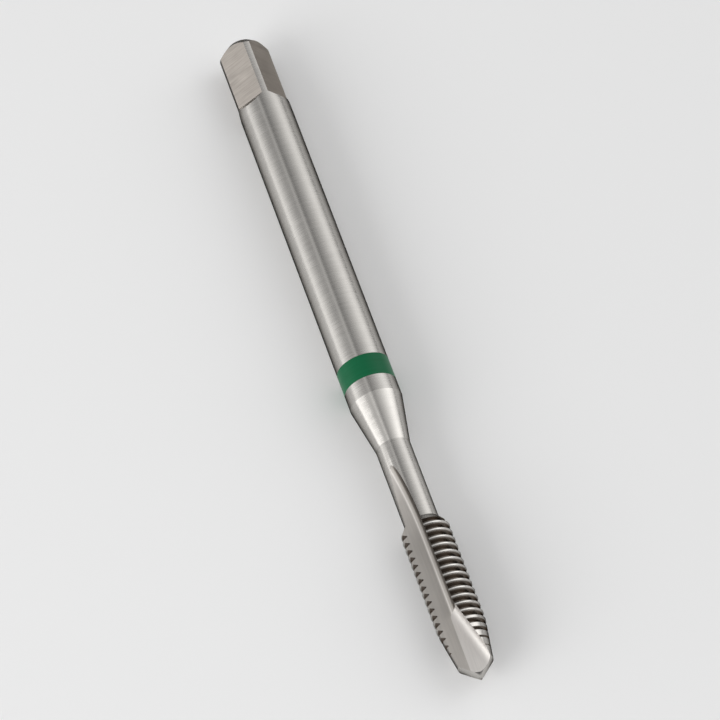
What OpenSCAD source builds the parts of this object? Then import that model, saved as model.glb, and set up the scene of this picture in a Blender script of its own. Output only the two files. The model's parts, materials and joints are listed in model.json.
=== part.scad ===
// Two-flute spiral point machine tap with a reduced neck, lying on a table.
// The axis runs along X with the point at +X, and the shank touches the table at z = 0.
// Angles are counted counterclockwise by a viewer who looks at the point.

/* [Thread] */
// Diameter over the thread crests, a little over the nominal 4 mm
crest_d = 4.1; // [3.9:0.05:4.3]
// Distance from one thread to the next
pitch = 0.7; // [0.6:0.05:0.8]
// Angle between the two flanks of a thread groove
flank_angle = 60; // [55:1:60]
// Width of the flat crest of a full thread
crest_flat = 0.1; // [0.06:0.01:0.14]
// Width of the flat bottom of a thread groove
root_flat = 0.08; // [0.04:0.01:0.12]
// Length of the thread from its shoulder on the neck to the end of the lead
thread_len = 13.5; // [12:0.1:15]
// Slope of the shoulder that rises from the neck to the crests
shoulder_angle = 36; // [25:1:60]

/* [Lead and point] */
// Length of the tapered lead
lead_len = 3.6; // [2.8:0.1:4.6]
// Diameter at the end of the lead, where the point begins
lead_end_d = 2.98; // [2.8:0.02:3.1]
// Full angle of the cone at the point
point_angle = 90; // [80:1:110]

/* [Shank] */
// Length from the square end to the end of the lead, without the point
length = 63; // [58:1:70]
// Length of neck and thread together, from the end of the neck's taper
reach = 21; // [19:0.5:23]
// Diameter of the shank
shank_d = 4.5; // [4.3:0.1:5]
// Diameter of the neck
neck_d = 2.95; // [2.8:0.05:3.1]
// Slope of the taper from the shank to the neck
neck_taper = 10; // [8:1:20]

/* [Drive square] */
// Distance across the flats of the square
square_af = 3.4; // [3.2:0.1:3.6]
// Length of the flats
square_len = 6.35; // [5:0.05:8]
// Slope of the surface in which each flat runs out, against the axis
flat_exit = 40; // [35:1:45]
// How far the corners of the square lie under the surface of the shank
corner_relief = 0.09; // [0.02:0.01:0.12]
// Length of the slight taper from the corners to the full shank
corner_taper = 1.05; // [0.5:0.05:2]
// Diameter of the flat disc at the square end
end_d = 2.5; // [2:0.1:3]
// Angle from the first cutting edge to the nearest corner of the square
square_turn = -14; // [-45:1:45]

/* [Colour ring] */
// Width of the lacquer ring
ring_len = 2.1; // [1:0.1:4]
// Distance from the ring to the end of the full shank
ring_gap = 1.5; // [0.5:0.1:4]
// Thickness of the lacquer, which lies flush in the shank
ring_film = 0.03; // [0.02:0.01:0.05]

/* [Flutes] */
// Distance from the axis to the flat heel wall of a flute
web_half = 0.6; // [0.55:0.05:0.7]
// Radius at the bottom of a flute
flute_nose = 0.65; // [0.5:0.05:0.75]
// Hook of the cutting face behind the cutting edge
rake = 8; // [2:1:12]
// Length of a flute at full depth, from the end of the lead
flute_len = 11.5; // [11:0.5:12.5]
// Radius of the wheel that ran the flutes out into the neck
wheel_r = 34; // [28:1:40]
// Angle from the cutting edge to the direction in which the wheel left the flute
wheel_lean = 43; // [36:1:48]

/* [Spiral point] */
// Length of the ground spiral point along the crest, from the end of the lead
gun_len = 5; // [4.4:0.1:5.4]
// Skew of the spiral point to the axis
gun_skew = 15; // [12:1:17]
// Angle of the wheel that ground the spiral point
gun_wheel = 70; // [66:1:73]
// Radius of that wheel's rounded edge
gun_nose = 0.8; // [0.6:0.05:0.9]
// Hook of the cutting face in the spiral point
gun_rake = 13; // [11:1:15]
// Distance from the cutting edge's radius to the crease beside the spiral point
gun_crease = 0.57; // [0.5:0.01:0.62]

/* [Resting place] */
// Turn of the first cutting edge away from straight up
roll = 8.6; // [-20:0.2:20]

/* [Hidden] */
$fn = 96;
flute_count = 2;
point_len = lead_end_d / 2 / tan(point_angle / 2);
overall_len = length + point_len;
crest_r = crest_d / 2;
neck_r = neck_d / 2;
shank_r = shank_d / 2;
corner_r = shank_r - corner_relief;
// The corners begin to widen a little before the flats end
corner_lead = 0.1;
corner_to = square_len - corner_lead;
end_chamfer = corner_r - end_d / 2;
neck_from = length - reach;
shank_end = neck_from - (shank_r - neck_r) / tan(neck_taper);
thread_from = length - thread_len;
shoulder_len = (crest_r - neck_r) / tan(shoulder_angle);
lead_from = length - lead_len;
groove_half_w = (pitch - crest_flat) / 2;
groove_depth = (groove_half_w - root_flat / 2) / tan(flank_angle / 2);
root_r = crest_r - groove_depth;
lead_angle = atan(pitch / (2 * PI * (crest_r + root_r) / 2));
// Least depth of a thread groove in the lead, and the place where the lead leaves that depth
least_depth = 0.05;
groove_to = lead_from + lead_len * (crest_r - root_r - least_depth) / (crest_r - lead_end_d / 2);
heel_angle = acos(web_half / crest_r);
land_angle = 360 / flute_count - heel_angle;
flute_from = length - flute_len;
nose_x = web_half + flute_nose;
nose_y = flute_nose / cos(rake) - (crest_r - nose_x) * tan(rake);
// Depth of the wheel's lowest point, and the place of its centre, along the lean
wheel_depth = nose_x * cos(wheel_lean) + nose_y * sin(wheel_lean) - flute_nose;
wheel_at = wheel_depth + wheel_r;
ring_from = shank_end - ring_gap - ring_len;
gun_drop = 90 - gun_rake - gun_wheel;
// Reach of a cutter past the metal that it cuts
clear = 0.5;
// How far the flute and spiral point sections run out into free space
far = 6;
// Angle by which a thread groove runs past each side of its land
groove_over = 8;
// How much smaller all round the wheel's exit is than the straight flute that it starts in
exit_step = 0.02;
// Turn of the wheel that takes it clear of the blank
exit_turn = 30;
// Turn by which the wheel's exit starts inside the straight flute
exit_lap = 1;
// Facets of a full turn of the large wheel
wheel_facets = 240;
// Reach of the spiral point's wheel past both ends of its ground face
gun_lap = 2;

// Everything drawn along +Z from the square end is laid down along X.
module lay_down() {
    translate([-overall_len / 2, 0, shank_r])
        rotate([0, 90, 0])
            rotate([0, 0, 180 + roll])
                children();
}

// The turned blank: end chamfer, shank, taper, neck, shoulder, crests, lead and point.
module blank() {
    rotate_extrude()
        polygon([
            [0, 0],
            [end_d / 2, 0],
            [corner_r, end_chamfer],
            [corner_r, corner_to],
            [shank_r, corner_to + corner_taper],
            [shank_r, shank_end],
            [neck_r, neck_from],
            [neck_r, thread_from],
            [crest_r, thread_from + shoulder_len],
            [crest_r, lead_from],
            [lead_end_d / 2, length],
            [0, overall_len]
        ]);
}

// The metal outside the four flats. Each flat ends in a short slope out to the shank.
module square_cuts() {
    flat_at = square_af / 2;
    for (side = [0 : 3])
        rotate([0, 0, square_turn + 45 + 90 * side])
            translate([0, shank_d, 0])
                rotate([90, 0, 0])
                    linear_extrude(height = 2 * shank_d)
                        polygon([
                            [flat_at, -clear],
                            [flat_at + shank_d, -clear],
                            [flat_at + shank_d, square_len + shank_d / tan(flat_exit)],
                            [flat_at, square_len]
                        ]);
}

// A band round the shank between two radii.
module band(inner_r, outer_r) {
    translate([0, 0, ring_from])
        difference() {
            cylinder(r = outer_r, h = ring_len);
            translate([0, 0, -clear])
                cylinder(r = inner_r, h = ring_len + 2 * clear);
        }
}

// One thread groove across one land, as an arc whose middle is at angle 0.
module groove() {
    arc = land_angle + 2 * groove_over;
    outer_r = crest_r + clear;
    outer_half_w = groove_half_w + clear * tan(flank_angle / 2);
    rotate([lead_angle, 0, 0])
        rotate([0, 0, -arc / 2])
            rotate_extrude(angle = arc)
                polygon([
                    [root_r, -root_flat / 2],
                    [outer_r, -outer_half_w],
                    [outer_r, outer_half_w],
                    [root_r, root_flat / 2]
                ]);
}

// The grooves of one right-hand thread, laid over both lands half a pitch apart.
module thread_grooves() {
    for (land = [0 : flute_count - 1])
        rotate([0, 0, -land_angle / 2 + 360 / flute_count * land])
            for (at = [thread_from + pitch * land / flute_count : pitch : groove_to])
                translate([0, 0, at])
                    groove();
}

// Cross-section of a flute about the centre of its rounded bottom, smaller all round by the step.
// The heel wall is the side along Y, and the cutting face is the side that leans by the rake.
module flute_section(step = 0) {
    r = flute_nose - step;
    side = far - step;
    translate([nose_x, nose_y]) {
        circle(r = r);
        polygon([
            [0, 0],
            [-r, 0],
            [-r, side],
            [side, side],
            [side, (side - r * sin(rake)) * tan(rake) - r * cos(rake)],
            [r * sin(rake), -r * cos(rake)]
        ]);
    }
}

// The straight part of a flute, along the thread.
module flute() {
    translate([0, 0, flute_from])
        linear_extrude(height = flute_len + point_len + clear)
            flute_section();
}

// The way out of a flute through the neck, where the wheel was lifted.
module flute_exit() {
    rotate([0, 0, wheel_lean])
        translate([wheel_at, 0, flute_from])
            rotate([90, exit_turn, 180])
                rotate_extrude(angle = exit_turn + exit_lap, $fn = wheel_facets)
                    translate([wheel_at, 0])
                        mirror([1, 0])
                            rotate(-wheel_lean)
                                flute_section(exit_step);
}

// Profile of the spiral point's wheel, with its steep side through the origin.
module gun_section() {
    side = 90 - gun_wheel;
    depth = crest_r * cos(gun_drop) - (web_half * cos(gun_drop) - gun_crease * sin(gun_drop));
    nose = gun_nose / sin(gun_wheel / 2);
    mid = 90 - gun_wheel / 2;
    translate([-depth, -depth * tan(side)]) {
        translate([nose * cos(mid), nose * sin(mid)])
            circle(r = gun_nose);
        polygon([
            [0, gun_nose / tan(gun_wheel / 2)],
            [0, far],
            [far, far],
            [far, far * tan(side)],
            [gun_nose / tan(gun_wheel / 2) * cos(side), gun_nose / tan(gun_wheel / 2) * sin(side)],
            [nose * cos(mid), nose * sin(mid)]
        ]);
    }
}

// The skewed grind that carries the cutting edge across the lead.
module gun_point() {
    run = gun_len + point_len;
    rotate([0, 0, -gun_drop])
        translate([crest_r * cos(gun_drop), crest_r * sin(gun_drop), length - gun_len])
            rotate([gun_skew, 0, 0])
                translate([0, 0, -gun_lap])
                    linear_extrude(height = gun_lap + run + gun_lap)
                        gun_section();
}

// The tap itself, one ground piece of steel.
module tap() {
    color("silver")
        lay_down()
            difference() {
                blank();
                square_cuts();
                band(shank_r - ring_film, shank_r + clear);
                thread_grooves();
                for (turn = [0 : 360 / flute_count : 359])
                    rotate([0, 0, turn]) {
                        flute();
                        flute_exit();
                        gun_point();
                    }
            }
}

// The lacquer ring that fills its shallow band.
module colour_ring() {
    color("seagreen")
        lay_down()
            band(shank_r - ring_film, shank_r);
}

tap();
colour_ring();
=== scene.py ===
import json
import math
import bpy
from mathutils import Matrix, Vector

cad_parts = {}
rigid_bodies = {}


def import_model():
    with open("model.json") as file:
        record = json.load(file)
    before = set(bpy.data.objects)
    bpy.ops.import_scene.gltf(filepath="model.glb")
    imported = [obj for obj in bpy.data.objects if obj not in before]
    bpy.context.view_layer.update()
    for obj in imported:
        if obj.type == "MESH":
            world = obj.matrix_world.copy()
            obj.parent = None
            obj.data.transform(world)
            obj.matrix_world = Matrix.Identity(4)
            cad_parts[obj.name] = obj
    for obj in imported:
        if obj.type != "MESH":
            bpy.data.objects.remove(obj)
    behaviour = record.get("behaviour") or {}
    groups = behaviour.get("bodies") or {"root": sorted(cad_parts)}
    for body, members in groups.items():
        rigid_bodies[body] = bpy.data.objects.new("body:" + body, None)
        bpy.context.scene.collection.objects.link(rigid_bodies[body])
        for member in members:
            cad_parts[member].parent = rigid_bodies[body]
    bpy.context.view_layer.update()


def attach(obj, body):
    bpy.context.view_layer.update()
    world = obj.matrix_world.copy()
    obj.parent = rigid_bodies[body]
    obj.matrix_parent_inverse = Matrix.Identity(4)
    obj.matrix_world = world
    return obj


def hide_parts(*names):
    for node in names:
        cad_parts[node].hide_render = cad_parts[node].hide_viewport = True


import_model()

# The tap in millimetres, along its axis from the square end. Angles are in degrees
tap = {
    "shankDiameter": 4.5,
    "neckDiameter": 2.95,
    "length": 63.0,  # to the end of the lead
    "reach": 21.0,  # neck and thread together
    "neckTaper": 10.0,
    "facets": 192,  # round the axis
    "squareAcross": 3.4,
    "squareLength": 6.35,
    "squareTurn": -14.0,  # from the first cutting edge to the nearest corner
    "flatExit": 40.0,  # slope in which the flats run out
    "cornerRelief": 0.09,  # how far the corners lie under the surface of the shank
    "cornerTaper": 1.05,
    "cornerLead": 0.1,  # the corners widen this far before the flats end
    "endDiameter": 2.5,
    "threadLength": 13.5,
    "shoulderAngle": 36.0,
    "crestDiameter": 4.1,
    "pitch": 0.7,
    "flankAngle": 60.0,
    "crestFlat": 0.14,  # flats of crest and root, before they are rounded
    "rootFlat": 0.06,
    "crestLeft": 0.01,  # half of the flat that the rounding leaves on a crest
    "roundSteps": 4,
    "leadLength": 3.6,
    "leadEndDiameter": 2.98,
    "pointAngle": 90.0,
    "webHalf": 0.6,  # from the axis to the flat wall of a flute
    "fluteNose": 0.65,  # radius at the bottom of a flute
    "fluteLength": 11.5,
    "rake": 8.0,  # hook of the cutting face
    "wheelRadius": 34.0,  # of the wheel that ran the flutes out into the neck
    "wheelLean": 43.0,  # from the cutting edge to the way in which that wheel left
    "gunLength": 5.0,  # of the spiral point, along the crest
    "gunSkew": 15.0,
    "gunWheel": 70.0,  # angle of the wheel that ground the spiral point
    "gunNose": 0.8,  # radius of that wheel's edge
    "gunRake": 13.0,
    "gunCrease": 0.57,  # from the cutting edge's radius to the crease beside the spiral point
    "roll": 8.6,  # turn of the first cutting edge away from straight up
    "crispFrom": 24.0,  # edges that turn by less are shaded smooth
}

# The lacquer ring, in millimetres. It fills a shallow band of the shank
ring = {
    "length": 2.1,
    "gap": 1.5,  # to the end of the full shank
    "film": 0.03,
    "rounding": 0.01,
}

# The tools that grind the tap, in the same units
tools = {
    "size": 6.0,  # how far a wheel's section reaches outwards
    "lap": 0.5,  # how far a tool runs past what it cuts
    "gunLap": 2.0,
    "overCrest": 0.1,  # how far the thread's tool stands out of the blank
    "noseSteps": 24,
    "exitTurn": 28.0,  # until the wheel is clear of the neck
    "exitSteps": 56,
    "turnSteps": 96,  # in each turn of the thread
    "weld": 0.00001,  # corners that lie closer are one
}

millimetre = 0.001
shankR = tap["shankDiameter"] / 2
neckR = tap["neckDiameter"] / 2
crestR = tap["crestDiameter"] / 2
cornerR = shankR - tap["cornerRelief"]
leadEndR = tap["leadEndDiameter"] / 2
neckFrom = tap["length"] - tap["reach"]
shankTo = neckFrom - (shankR - neckR) / math.tan(math.radians(tap["neckTaper"]))
ringTo = shankTo - ring["gap"]
ringFrom = ringTo - ring["length"]
threadFrom = tap["length"] - tap["threadLength"]
halfFlank = math.radians(tap["flankAngle"] / 2)
threadDepth = (tap["pitch"] - tap["crestFlat"] - tap["rootFlat"]) / 2 / math.tan(halfFlank)
leadFrom = tap["length"] - tap["leadLength"]
pointLength = leadEndR / math.tan(math.radians(tap["pointAngle"] / 2))
overall = tap["length"] + pointLength
fluteFrom = tap["length"] - tap["fluteLength"]
rake = math.radians(tap["rake"])
roll = math.radians(tap["roll"])


def selectOnly(piece):
    bpy.ops.object.select_all(action="DESELECT")
    piece.select_set(True)
    bpy.context.view_layer.objects.active = piece


def settle():
    bpy.ops.object.transform_apply(location=True, rotation=True, scale=True)


# Ends in edit mode, with the corners or the faces picked whose place is wanted
def pick(piece, kind, wanted):
    bpy.ops.object.mode_set(mode="EDIT")
    bpy.ops.mesh.select_mode(type=kind)
    bpy.ops.mesh.select_all(action="DESELECT")
    bpy.ops.object.mode_set(mode="OBJECT")
    if kind == "VERT":
        for corner in piece.data.vertices:
            corner.select = wanted(corner.co)
    else:
        for face in piece.data.polygons:
            face.select = wanted(face.center)
    bpy.ops.object.mode_set(mode="EDIT")


def faceOutwards():
    bpy.ops.mesh.select_all(action="SELECT")
    bpy.ops.mesh.remove_doubles(threshold=tools["weld"])
    bpy.ops.mesh.normals_make_consistent(inside=False)
    bpy.ops.object.mode_set(mode="OBJECT")


# A disc is drawn out along X and scaled at each station, as on a lathe
def turnOnLathe(stations):
    at, radius = stations[0]
    bpy.ops.mesh.primitive_circle_add(vertices=tap["facets"], radius=radius, fill_type="NGON",
                                      location=(at, 0, 0), rotation=(0, math.pi / 2, 0))
    turned = bpy.context.object
    selectOnly(turned)
    settle()
    bpy.ops.object.mode_set(mode="EDIT")
    bpy.ops.mesh.select_mode(type="FACE")
    bpy.ops.mesh.select_all(action="SELECT")
    for nextAt, nextRadius in stations[1:]:
        bpy.ops.mesh.extrude_region_move(TRANSFORM_OT_translate={"value": (nextAt - at, 0, 0)})
        grow = nextRadius / radius
        bpy.ops.transform.resize(value=(1, grow, grow), center_override=(nextAt, 0, 0))
        at, radius = nextAt, nextRadius
    return turned


def turnBlank():
    cornerTo = tap["squareLength"] - tap["cornerLead"]
    shoulderLength = (crestR - neckR) / math.tan(math.radians(tap["shoulderAngle"]))
    smallTip = 0.0005  # merged into one corner below
    blank = turnOnLathe([
        (0, tap["endDiameter"] / 2),
        (cornerR - tap["endDiameter"] / 2, cornerR),
        (cornerTo, cornerR),
        (cornerTo + tap["cornerTaper"], shankR),
        (ringFrom, shankR),
        (ringFrom, shankR - ring["film"]),
        (ringTo, shankR - ring["film"]),
        (ringTo, shankR),
        (shankTo, shankR),
        (neckFrom, neckR),
        (threadFrom, neckR),
        (threadFrom + shoulderLength, crestR),
        (leadFrom, crestR),
        (tap["length"], leadEndR),
        (overall, smallTip),
    ])
    bpy.ops.mesh.merge(type="CENTER")
    faceOutwards()
    return blank


# The corner of a grinding wheel, with one side along -Y and the other open by the given angle
def wheelCorner(openAngle, nose):
    size = tools["size"]
    bpy.ops.mesh.primitive_plane_add(size=size, location=(0, -size / 2, size / 2),
                                     rotation=(0, math.pi / 2, 0))
    wheel = bpy.context.object
    selectOnly(wheel)
    settle()
    near = size / 10
    pick(wheel, "VERT", lambda place: place.y > -near and place.z > near)
    bpy.ops.transform.translate(value=(0, -size * math.tan(math.radians(90 - openAngle)), 0))
    bpy.ops.object.mode_set(mode="OBJECT")
    pick(wheel, "VERT", lambda place: abs(place.y) < near and abs(place.z) < near)
    bpy.ops.mesh.bevel(offset=nose / math.tan(math.radians(openAngle / 2)),
                       segments=tools["noseSteps"], affect="VERTICES")
    bpy.ops.object.mode_set(mode="OBJECT")
    return wheel


def drawOut(distance):
    bpy.ops.object.mode_set(mode="EDIT")
    bpy.ops.mesh.select_mode(type="FACE")
    bpy.ops.mesh.select_all(action="SELECT")
    bpy.ops.mesh.extrude_region_move(TRANSFORM_OT_translate={"value": (distance, 0, 0)})
    bpy.ops.object.mode_set(mode="OBJECT")


# Straight along the thread, then lifted out through the neck round the wheel's own centre
def fluteWheel(turn):
    wheel = wheelCorner(90 - tap["rake"], tap["fluteNose"])
    wheel.location = (fluteFrom, (crestR - tap["webHalf"]) * math.tan(rake), tap["webHalf"])
    settle()
    drawOut(tap["fluteLength"] + pointLength + tools["lap"])
    lean = math.radians(tap["wheelLean"])
    noseUp = tap["webHalf"] + tap["fluteNose"]
    noseOut = tap["fluteNose"] / math.cos(rake) - (crestR - noseUp) * math.tan(rake)
    depth = noseUp * math.cos(lean) + noseOut * math.sin(lean) - tap["fluteNose"]
    centre = depth + tap["wheelRadius"]
    near = tools["lap"] / 10
    pick(wheel, "FACE", lambda middle: middle.x < fluteFrom + near)
    bpy.ops.mesh.spin(steps=tools["exitSteps"], angle=math.radians(tools["exitTurn"]),
                      center=(fluteFrom, -centre * math.sin(lean), centre * math.cos(lean)),
                      axis=(0, -math.cos(lean), -math.sin(lean)))
    faceOutwards()
    wheel.rotation_euler = (turn, 0, 0)
    settle()
    return wheel


# The spiral point is ground by a sharper wheel, set at a skew to the axis
def gunWheel(turn):
    wheel = wheelCorner(tap["gunWheel"], tap["gunNose"])
    drop = math.radians(90 - tap["gunRake"] - tap["gunWheel"])
    side = math.radians(90 - tap["gunWheel"])
    crease = tap["webHalf"] * math.cos(drop) - tap["gunCrease"] * math.sin(drop)
    depth = crestR * math.cos(drop) - crease
    lap = tools["gunLap"]
    wheel.location = (-lap, depth * math.tan(side), -depth)
    settle()
    drawOut(lap + tap["gunLength"] + pointLength + lap)
    wheel.rotation_euler = (0, 0, math.radians(tap["gunSkew"]))
    settle()
    wheel.location = (tap["length"] - tap["gunLength"], -crestR * math.sin(drop), crestR * math.cos(drop))
    settle()
    wheel.rotation_euler = (turn - drop, 0, 0)
    settle()
    bpy.ops.object.mode_set(mode="EDIT")
    faceOutwards()
    return wheel


# Half the section of a thread groove, from its mouth down: (distance from its middle, radius)
def grooveStations():
    rootR = crestR - threadDepth
    rounding = math.tan(math.radians(45) - halfFlank / 2)  # a rounding's share of the flat that it takes up
    crestNose = (tap["crestFlat"] / 2 - tap["crestLeft"]) / rounding
    rootNose = (tap["rootFlat"] / 2) / rounding
    steps = tap["roundSteps"]
    arc = [(math.radians(90) - halfFlank) * step / steps for step in range(steps + 1)]
    crest = [(tap["pitch"] / 2 - tap["crestLeft"] - crestNose * math.sin(turn),
              crestR - crestNose * (1 - math.cos(turn))) for turn in arc]
    root = [(rootNose * math.sin(turn), rootR + rootNose * (1 - math.cos(turn))) for turn in arc[:0:-1]]
    return crest + root


# One groove's section, drawn down from its mouth and wound round the axis by the screw modifier
def threadTool():
    stations = grooveStations()
    start = threadFrom - tap["pitch"]
    landAngle = math.pi - math.acos(tap["webHalf"] / crestR)
    half, radius = stations[0]
    middle = radius + tools["overCrest"] / 2
    bpy.ops.mesh.primitive_plane_add(size=1, rotation=(math.pi / 2, 0, 0))
    tool = bpy.context.object
    selectOnly(tool)
    settle()
    tool.scale = (2 * half, 1, tools["overCrest"])
    tool.location = (start, 0, middle)
    settle()
    pick(tool, "VERT", lambda place: place.z < middle)
    for nextHalf, nextRadius in stations[1:]:
        bpy.ops.mesh.extrude_region_move(TRANSFORM_OT_translate={"value": (0, 0, nextRadius - radius)})
        bpy.ops.transform.resize(value=(nextHalf / half, 1, 1), center_override=(start, 0, nextRadius))
        half, radius = nextHalf, nextRadius
    bpy.ops.mesh.select_mode(type="FACE")
    bpy.ops.mesh.select_all(action="SELECT")
    bpy.ops.mesh.dissolve_faces()
    bpy.ops.object.mode_set(mode="OBJECT")
    tool.rotation_euler = (-landAngle / 2, 0, 0)
    settle()
    helix = tool.modifiers.new("helix", "SCREW")
    helix.axis = "X"
    helix.screw_offset = tap["pitch"]
    helix.iterations = math.ceil(tap["threadLength"] / tap["pitch"]) + 2
    helix.steps = tools["turnSteps"]
    helix.render_steps = tools["turnSteps"]
    bpy.ops.object.modifier_apply(modifier="helix")
    bpy.ops.object.mode_set(mode="EDIT")
    bpy.ops.mesh.select_mode(type="VERT")
    bpy.ops.mesh.select_all(action="SELECT")
    bpy.ops.mesh.remove_doubles(threshold=tools["weld"])
    bpy.ops.mesh.fill_holes(sides=0)
    faceOutwards()
    return tool


# A block whose end slopes outwards, so that each flat runs out into the shank
def flatTool(turn):
    flatUp = tap["squareAcross"] / 2
    depth = tap["shankDiameter"]
    bpy.ops.mesh.primitive_cube_add(size=1)
    block = bpy.context.object
    selectOnly(block)
    block.scale = (tap["squareLength"] + tools["lap"], 2 * tap["shankDiameter"], depth)
    block.location = ((tap["squareLength"] - tools["lap"]) / 2, 0, flatUp + depth / 2)
    settle()
    pick(block, "VERT", lambda place: place.x > 0 and place.z > flatUp + depth / 2)
    bpy.ops.transform.translate(value=(depth / math.tan(math.radians(tap["flatExit"])), 0, 0))
    bpy.ops.object.mode_set(mode="OBJECT")
    block.rotation_euler = (turn, 0, 0)
    settle()
    return block


# The faces that a tool leaves take its finish
def grind(piece, tool, finish):
    tool.data.materials.append(finish)
    step = piece.modifiers.new("grind", "BOOLEAN")
    step.operation = "DIFFERENCE"
    step.solver = "MANIFOLD"
    step.material_mode = "TRANSFER"
    step.object = tool
    selectOnly(piece)
    bpy.ops.object.modifier_apply(modifier="grind")
    bpy.data.objects.remove(tool)


# From the lathe's millimetres to its place in the frame, lying on the shank
def layDown(piece):
    selectOnly(piece)
    piece.rotation_euler = (roll, 0, 0)
    settle()
    piece.scale = (millimetre, millimetre, millimetre)
    piece.location = (-overall / 2 * millimetre, 0, shankR * millimetre)
    settle()


# How each grinding left the steel, with painted shade in the thread's grooves and a painted highlight and
# shade in the flutes. Grain is in marks per millimetre along X and across it, and its depth is in
# millimetres. Shading, streaks and roughnessSpread are how far each goes up and down.
# With a lay of 0 the marks run round the axis, and with 0.25 along it
steelLooks = {
    "shank": {"colour": (0.53, 0.512, 0.486), "shading": 0.06, "streaks": 0.03,
              "roughness": 0.25, "roughnessSpread": 0.05, "anisotropy": 0.7, "lay": 0,
              "grain": (9, 0.5), "grainDepth": 0.0016},
    "flats": {"colour": (0.39, 0.357, 0.325), "shading": 0.14, "streaks": 0.14,
              "roughness": 0.36, "roughnessSpread": 0.08, "anisotropy": 0.6, "lay": 0,
              "grain": (13, 0.5), "grainDepth": 0.004},
    "thread": {"colour": (0.68, 0.66, 0.63), "shading": 0.08, "streaks": 0.05,
               "roughness": 0.26, "roughnessSpread": 0.06, "anisotropy": 0.3, "lay": 0,
               "grain": (14, 1.0), "grainDepth": 0.0002,
               # The groove colour is painted shade: the thread's grooves are painted dark where shade falls,
               # fading into the crest colour towards the crests
               "paintedGrooveShade": (0.16, 0.137, 0.118),
               "grooveShadeBand": (0.32, 0.05)},  # where the crest's colour begins and is full, in groove depths
    "flutes": {"colour": (0.54, 0.51, 0.475), "shading": 0.08, "streaks": 0.06,
               "roughness": 0.40, "roughnessSpread": 0.06, "anisotropy": 0.8, "lay": 0.25,
               "grain": (0.3, 12), "grainDepth": 0.0016,
               # The nose colour is a painted highlight along the bottom of each flute, and the face colour
               # is painted shade on the cutting face
               "paintedHighlight": (0.90, 0.86, 0.82),
               "paintedShade": (0.13, 0.117, 0.104),
               # By the cosine of the turn away from the flat wall
               "paintedLight": [(0.7, "paintedShade"), (0.93, "colour"), (0.975, "paintedHighlight"), (0.999, "colour")]},
    "point": {"colour": (0.73, 0.70, 0.67), "shading": 0.06, "streaks": 0.04,
              "roughness": 0.42, "roughnessSpread": 0.05, "anisotropy": 0.75, "lay": 0.25,
              "grain": (0.5, 10), "grainDepth": 0.0014},
}
edgeTint = (0, 0, 0)  # ground steel turns dark where it is seen edge on
grainDetail = 4
grainLimits = (0.3, 0.7)  # most of the grain's values lie between these
cloudMarks = (0.35, 0.5, 0.5)  # broad cloudy shading, in marks per millimetre
cloudDetail = 2


def newMaterial(name):
    material = bpy.data.materials.new(name)
    material.use_nodes = True
    nodes = material.node_tree.nodes
    return material, nodes, material.node_tree.links, nodes["Principled BSDF"]


def newMix(nodes, blendType):
    mix = nodes.new("ShaderNodeMix")
    mix.data_type = "RGBA"
    mix.blend_type = blendType
    return mix


def marks(nodes, links, across, detail):
    place = nodes.new("ShaderNodeTexCoord")
    mapping = nodes.new("ShaderNodeMapping")
    mapping.inputs["Scale"].default_value = [count / millimetre for count in across]
    noise = nodes.new("ShaderNodeTexNoise")
    noise.inputs["Scale"].default_value = 1
    noise.inputs["Detail"].default_value = detail
    links.new(place.outputs["Object"], mapping.inputs["Vector"])
    links.new(mapping.outputs["Vector"], noise.inputs["Vector"])
    return noise.outputs["Fac"]


def plusMinus(middle, spread):
    return middle - spread, middle + spread


def stretch(nodes, links, value, limits, to=(0, 1)):
    mapRange = nodes.new("ShaderNodeMapRange")
    mapRange.inputs["From Min"].default_value, mapRange.inputs["From Max"].default_value = limits
    mapRange.inputs["To Min"].default_value, mapRange.inputs["To Max"].default_value = to
    links.new(value, mapRange.inputs["Value"])
    return mapRange.outputs["Result"]


# The stops of a colour ramp, from left to right: (position, colour)
def setStops(ramp, steps):
    stops = ramp.color_ramp.elements
    while len(stops) < len(steps):
        stops.new(1)
    for stop, (position, colour) in zip(stops, steps):
        stop.position = position
        stop.color = (*colour, 1)


# Painted shade: the grooves between the crests are painted dark where shade falls, turning to the crests'
# own colour by the distance from the axis
def paintGrooveShade(nodes, links, look):
    place = nodes.new("ShaderNodeTexCoord")
    fromAxis = nodes.new("ShaderNodeMapping")
    fromAxis.inputs["Location"].default_value = (0, 0, -shankR)
    fromAxis.inputs["Scale"].default_value = (0, 1 / millimetre, 1 / millimetre)
    links.new(place.outputs["Object"], fromAxis.inputs["Vector"])
    radius = nodes.new("ShaderNodeVectorMath")
    radius.operation = "LENGTH"
    links.new(fromAxis.outputs["Vector"], radius.inputs[0])
    band = [crestR - threadDepth * share for share in look["grooveShadeBand"]]
    blend = newMix(nodes, "MIX")
    blend.inputs["A"].default_value = (*look["paintedGrooveShade"], 1)
    blend.inputs["B"].default_value = (*look["colour"], 1)
    links.new(stretch(nodes, links, radius.outputs["Value"], band), blend.inputs["Factor"])
    return blend.outputs["Result"]


# Painted light: a bright line is painted as a highlight where the bottom of a flute begins, and the cutting
# face is painted dark as shade, by the turn of the surface away from the flat wall
def paintedFluteLight(nodes, links, look):
    surface = nodes.new("ShaderNodeNewGeometry")
    facing = nodes.new("ShaderNodeVectorTransform")
    facing.vector_type = "NORMAL"
    facing.convert_from = "WORLD"
    facing.convert_to = "OBJECT"
    links.new(surface.outputs["Normal"], facing.inputs["Vector"])
    wall = nodes.new("ShaderNodeVectorMath")
    wall.operation = "DOT_PRODUCT"
    wall.inputs[1].default_value = (0, -math.sin(roll), math.cos(roll))
    links.new(facing.outputs["Vector"], wall.inputs[0])
    eitherFlute = nodes.new("ShaderNodeMath")
    eitherFlute.operation = "ABSOLUTE"
    links.new(wall.outputs["Value"], eitherFlute.inputs[0])
    paintedBands = nodes.new("ShaderNodeValToRGB")
    setStops(paintedBands, [(cosine, look[colour]) for cosine, colour in look["paintedLight"]])
    links.new(eitherFlute.outputs["Value"], paintedBands.inputs["Fac"])
    return paintedBands.outputs["Color"]


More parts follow.
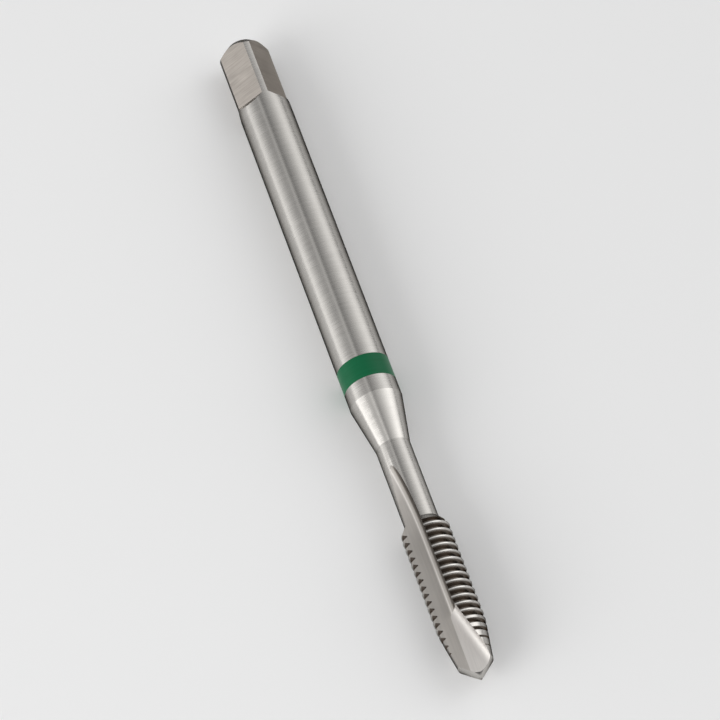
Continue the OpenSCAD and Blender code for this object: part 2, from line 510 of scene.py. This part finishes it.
def groundSteel(part):
    look = steelLooks[part]
    steel, nodes, links, shader = newMaterial(part + "Steel")
    along, around = look["grain"]
    grain = marks(nodes, links, (along, around, around), grainDetail)
    clouds = marks(nodes, links, cloudMarks, cloudDetail)
    worn = nodes.new("ShaderNodeMath")
    worn.operation = "MULTIPLY"
    links.new(stretch(nodes, links, clouds, (0, 1), plusMinus(1, look["shading"])), worn.inputs[0])
    links.new(stretch(nodes, links, grain, grainLimits, plusMinus(1, look["streaks"])), worn.inputs[1])
    tint = newMix(nodes, "MULTIPLY")
    tint.inputs["Factor"].default_value = 1
    tint.inputs["A"].default_value = (*look["colour"], 1)
    # Painted shade in the thread's grooves, and a painted highlight and shade in the flutes, take the place
    # of the plain colour
    if "paintedGrooveShade" in look:
        links.new(paintGrooveShade(nodes, links, look), tint.inputs["A"])
    if "paintedLight" in look:
        links.new(paintedFluteLight(nodes, links, look), tint.inputs["A"])
    links.new(worn.outputs["Value"], tint.inputs["B"])
    links.new(tint.outputs["Result"], shader.inputs["Base Color"])
    wear = stretch(nodes, links, grain, grainLimits, plusMinus(look["roughness"], look["roughnessSpread"]))
    links.new(wear, shader.inputs["Roughness"])
    scratches = nodes.new("ShaderNodeBump")
    scratches.inputs["Strength"].default_value = 1
    scratches.inputs["Distance"].default_value = look["grainDepth"] * millimetre
    links.new(grain, scratches.inputs["Height"])
    links.new(scratches.outputs["Normal"], shader.inputs["Normal"])
    axis = nodes.new("ShaderNodeCombineXYZ")
    axis.inputs["X"].default_value = 1
    links.new(axis.outputs["Vector"], shader.inputs["Tangent"])
    shader.inputs["Metallic"].default_value = 1
    shader.inputs["Anisotropic"].default_value = look["anisotropy"]
    shader.inputs["Anisotropic Rotation"].default_value = look["lay"]
    shader.inputs["Specular Tint"].default_value = (*edgeTint, 1)
    return steel


lacquerLook = {
    "colour": (0.003, 0.092, 0.034),
    "thinColour": (0.006, 0.128, 0.052),
    "roughness": 0.36,
    "gloss": 0.16,
    "strokes": (5, 0.3, 0.3),  # of the brush, in marks per millimetre
    "strokeDetail": 3,
    "strokeDepth": 0.001,
}


def greenLacquer():
    lacquer, nodes, links, shader = newMaterial("greenLacquer")
    strokes = marks(nodes, links, lacquerLook["strokes"], lacquerLook["strokeDetail"])
    tint = newMix(nodes, "MIX")
    tint.inputs["A"].default_value = (*lacquerLook["colour"], 1)
    tint.inputs["B"].default_value = (*lacquerLook["thinColour"], 1)
    links.new(strokes, tint.inputs["Factor"])
    links.new(tint.outputs["Result"], shader.inputs["Base Color"])
    unevenness = nodes.new("ShaderNodeBump")
    unevenness.inputs["Distance"].default_value = lacquerLook["strokeDepth"] * millimetre
    links.new(strokes, unevenness.inputs["Height"])
    links.new(unevenness.outputs["Normal"], shader.inputs["Normal"])
    shader.inputs["Roughness"].default_value = lacquerLook["roughness"]
    shader.inputs["Specular IOR Level"].default_value = lacquerLook["gloss"]
    return lacquer


# The two ends of the neck's taper are crisp, though they turn by less than the smoothing angle
def keepKneesCrisp(body):
    knees = [(at - overall / 2) * millimetre for at in (shankTo, neckFrom)]
    near = 0.001 * millimetre
    pick(body, "VERT", lambda place: min(abs(place.x - at) for at in knees) < near)
    bpy.ops.mesh.mark_sharp()
    bpy.ops.object.mode_set(mode="OBJECT")


def makeTap():
    body = turnBlank()
    body.name = "tapBody"
    body.data.materials.append(groundSteel("shank"))
    threadSteel, fluteSteel, pointSteel, flatSteel = map(groundSteel, ("thread", "flutes", "point", "flats"))
    for turn in (0, math.pi):
        grind(body, fluteWheel(turn), fluteSteel)
    grind(body, threadTool(), threadSteel)
    for turn in (0, math.pi):
        grind(body, gunWheel(turn), pointSteel)
    for quarter in range(4):
        grind(body, flatTool(math.radians(tap["squareTurn"] + 45 + 90 * quarter)), flatSteel)
    layDown(body)
    keepKneesCrisp(body)
    bpy.ops.object.shade_smooth_by_angle(angle=math.radians(tap["crispFrom"]))
    return body


def makeRing():
    edge = ring["rounding"]
    under = shankR - ring["film"] - edge
    band = turnOnLathe([
        (ringFrom, under),
        (ringFrom, shankR - edge),
        (ringFrom + edge, shankR),
        (ringTo - edge, shankR),
        (ringTo, shankR - edge),
        (ringTo, under),
    ])
    faceOutwards()
    band.name = "colourRing"
    band.data.materials.append(greenLacquer())
    layDown(band)
    bpy.ops.object.shade_smooth_by_angle(angle=math.radians(tap["crispFrom"]))
    return band


def dress(piece, node):
    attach(piece, "root")
    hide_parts(node)


tapBody = makeTap()
dress(tapBody, "tap")
print("tap body:", len(tapBody.data.polygons), "faces")
colourRing = makeRing()
dress(colourRing, "colour_ring")
print("colour ring:", len(colourRing.data.polygons), "faces")

# The camera stands far off and looks down on the tap from beyond its point. Lengths are in millimetres
cameraPlace = {
    "tilt": 30.1,  # degrees between the view and the square across the axis
    "lean": -10.8,  # degrees round the axis from straight above
    "slant": 20.86,  # degrees between the axis and the picture's upright
    "distance": 385.0,
    "lookAt": 33.16,  # along the axis, from the square end
    "aside": 0.02107,
    "sensor": 36,
    "lens": 233.45,
}


def placeCamera():
    tilt = math.radians(cameraPlace["tilt"])
    lean = math.radians(cameraPlace["lean"])
    slant = math.radians(cameraPlace["slant"])
    along = Vector((1, 0, 0))
    facing = Vector((0, math.sin(lean), math.cos(lean)))
    across = Vector((0, math.cos(lean), -math.sin(lean)))
    down = math.cos(tilt) * along - math.sin(tilt) * facing
    back = math.sin(tilt) * along + math.cos(tilt) * facing
    right = math.sin(slant) * down + math.cos(slant) * across
    up = -math.cos(slant) * down + math.sin(slant) * across
    target = Vector((cameraPlace["lookAt"] - overall / 2, 0, shankR)) + across * cameraPlace["aside"]
    place = (target + back * cameraPlace["distance"]) * millimetre
    lens = bpy.data.cameras.new("camera")
    lens.sensor_width = cameraPlace["sensor"]
    lens.lens = cameraPlace["lens"]
    lens.clip_start = 10 * millimetre
    camera = bpy.data.objects.new("camera", lens)
    bpy.context.scene.collection.objects.link(camera)
    turned = Matrix((right, up, back)).transposed().to_4x4()
    camera.matrix_world = Matrix.Translation(place) @ turned
    bpy.context.scene.camera = camera


# The studio is in metres, and its light tent is the world
studio = {
    "tableSize": 3,
    "tableColour": (0.86, 0.86, 0.86),
    "tableRoughness": 0.9,
    "keyDirection": (0.35, -0.8, 0.45),
    "keyDistance": 0.6,
    "keySize": 0.35,
    "keyPower": 1.6,
    # Level of the tent by the angle round the tap, from straight above towards +Y
    "tent": [(-180, 1.0), (-100, 1.39), (-88, 1.39), (-83, 1.28), (-73, 1.04), (-63, 0.80), (-54, 0.64),
             (-45, 0.53), (-36, 0.48), (-28, 0.48), (-23, 0.58), (-19, 0.68), (-15, 0.53), (-10, 0.31),
             (-5, 0.30), (0, 0.37), (6, 0.45), (15, 0.55), (23, 0.67), (32, 0.82), (42, 1.0), (51, 1.15),
             (58, 1.20), (66, 1.13), (72, 1.0), (78, 0.78), (84, 0.50), (90, 0.20), (100, 0.10), (180, 1.0)],
    # Share of that level from the tent's end beyond the square (-1) to the one beyond the point (1)
    "ends": [(-1, 0.8), (-0.55, 1.0), (-0.4, 1.15), (-0.17, 1.8), (0.05, 1.6), (0.3, 1.1), (0.6, 0.5),
             (1, 0.2)],
    "brightest": 2.0,
}


def whiteTable():
    bpy.ops.mesh.primitive_plane_add(size=studio["tableSize"])
    table = bpy.context.object
    table.name = "table"
    white = newMaterial("whiteTable")[0]
    shader = white.node_tree.nodes["Principled BSDF"]
    shader.inputs["Base Color"].default_value = (*studio["tableColour"], 1)
    shader.inputs["Roughness"].default_value = studio["tableRoughness"]
    table.data.materials.append(white)


def keySoftbox():
    light = bpy.data.lights.new("keySoftbox", "AREA")
    light.shape = "SQUARE"
    light.size = studio["keySize"]
    light.energy = studio["keyPower"]
    lamp = bpy.data.objects.new("keySoftbox", light)
    bpy.context.scene.collection.objects.link(lamp)
    direction = Vector(studio["keyDirection"]).normalized()
    lamp.location = direction * studio["keyDistance"]
    lamp.rotation_mode = "QUATERNION"
    lamp.rotation_quaternion = direction.to_track_quat("Z", "Y")


# A soft ramp of grey levels over a value that runs between two limits
def levels(nodes, links, value, limits, steps):
    ramp = nodes.new("ShaderNodeValToRGB")
    ramp.color_ramp.interpolation = "CARDINAL"
    first, last = steps[0][0], steps[-1][0]
    places = [(at - first) / (last - first) for at, level in steps]
    greys = [(level / studio["brightest"],) * 3 for at, level in steps]
    setStops(ramp, list(zip(places, greys)))
    links.new(stretch(nodes, links, value, limits), ramp.inputs["Fac"])
    return ramp.outputs["Color"]


def lightTent():
    world = bpy.data.worlds.new("lightTent")
    world.use_nodes = True
    nodes, links = world.node_tree.nodes, world.node_tree.links
    place = nodes.new("ShaderNodeTexCoord")
    parts = nodes.new("ShaderNodeSeparateXYZ")
    links.new(place.outputs["Generated"], parts.inputs["Vector"])
    around = nodes.new("ShaderNodeMath")
    around.operation = "ARCTAN2"
    links.new(parts.outputs["Y"], around.inputs[0])
    links.new(parts.outputs["Z"], around.inputs[1])
    product = newMix(nodes, "MULTIPLY")
    product.inputs["Factor"].default_value = 1
    tent = levels(nodes, links, around.outputs["Value"], (-math.pi, math.pi), studio["tent"])
    ends = levels(nodes, links, parts.outputs["X"], (-1, 1), studio["ends"])
    links.new(tent, product.inputs["A"])
    links.new(ends, product.inputs["B"])
    background = nodes["Background"]
    background.inputs["Strength"].default_value = studio["brightest"] ** 2  # once for each ramp
    links.new(product.outputs["Result"], background.inputs["Color"])
    bpy.context.scene.world = world


placeCamera()
whiteTable()
keySoftbox()
lightTent()
bpy.context.scene.view_settings.view_transform = "Standard"
print("camera placed and studio lit")
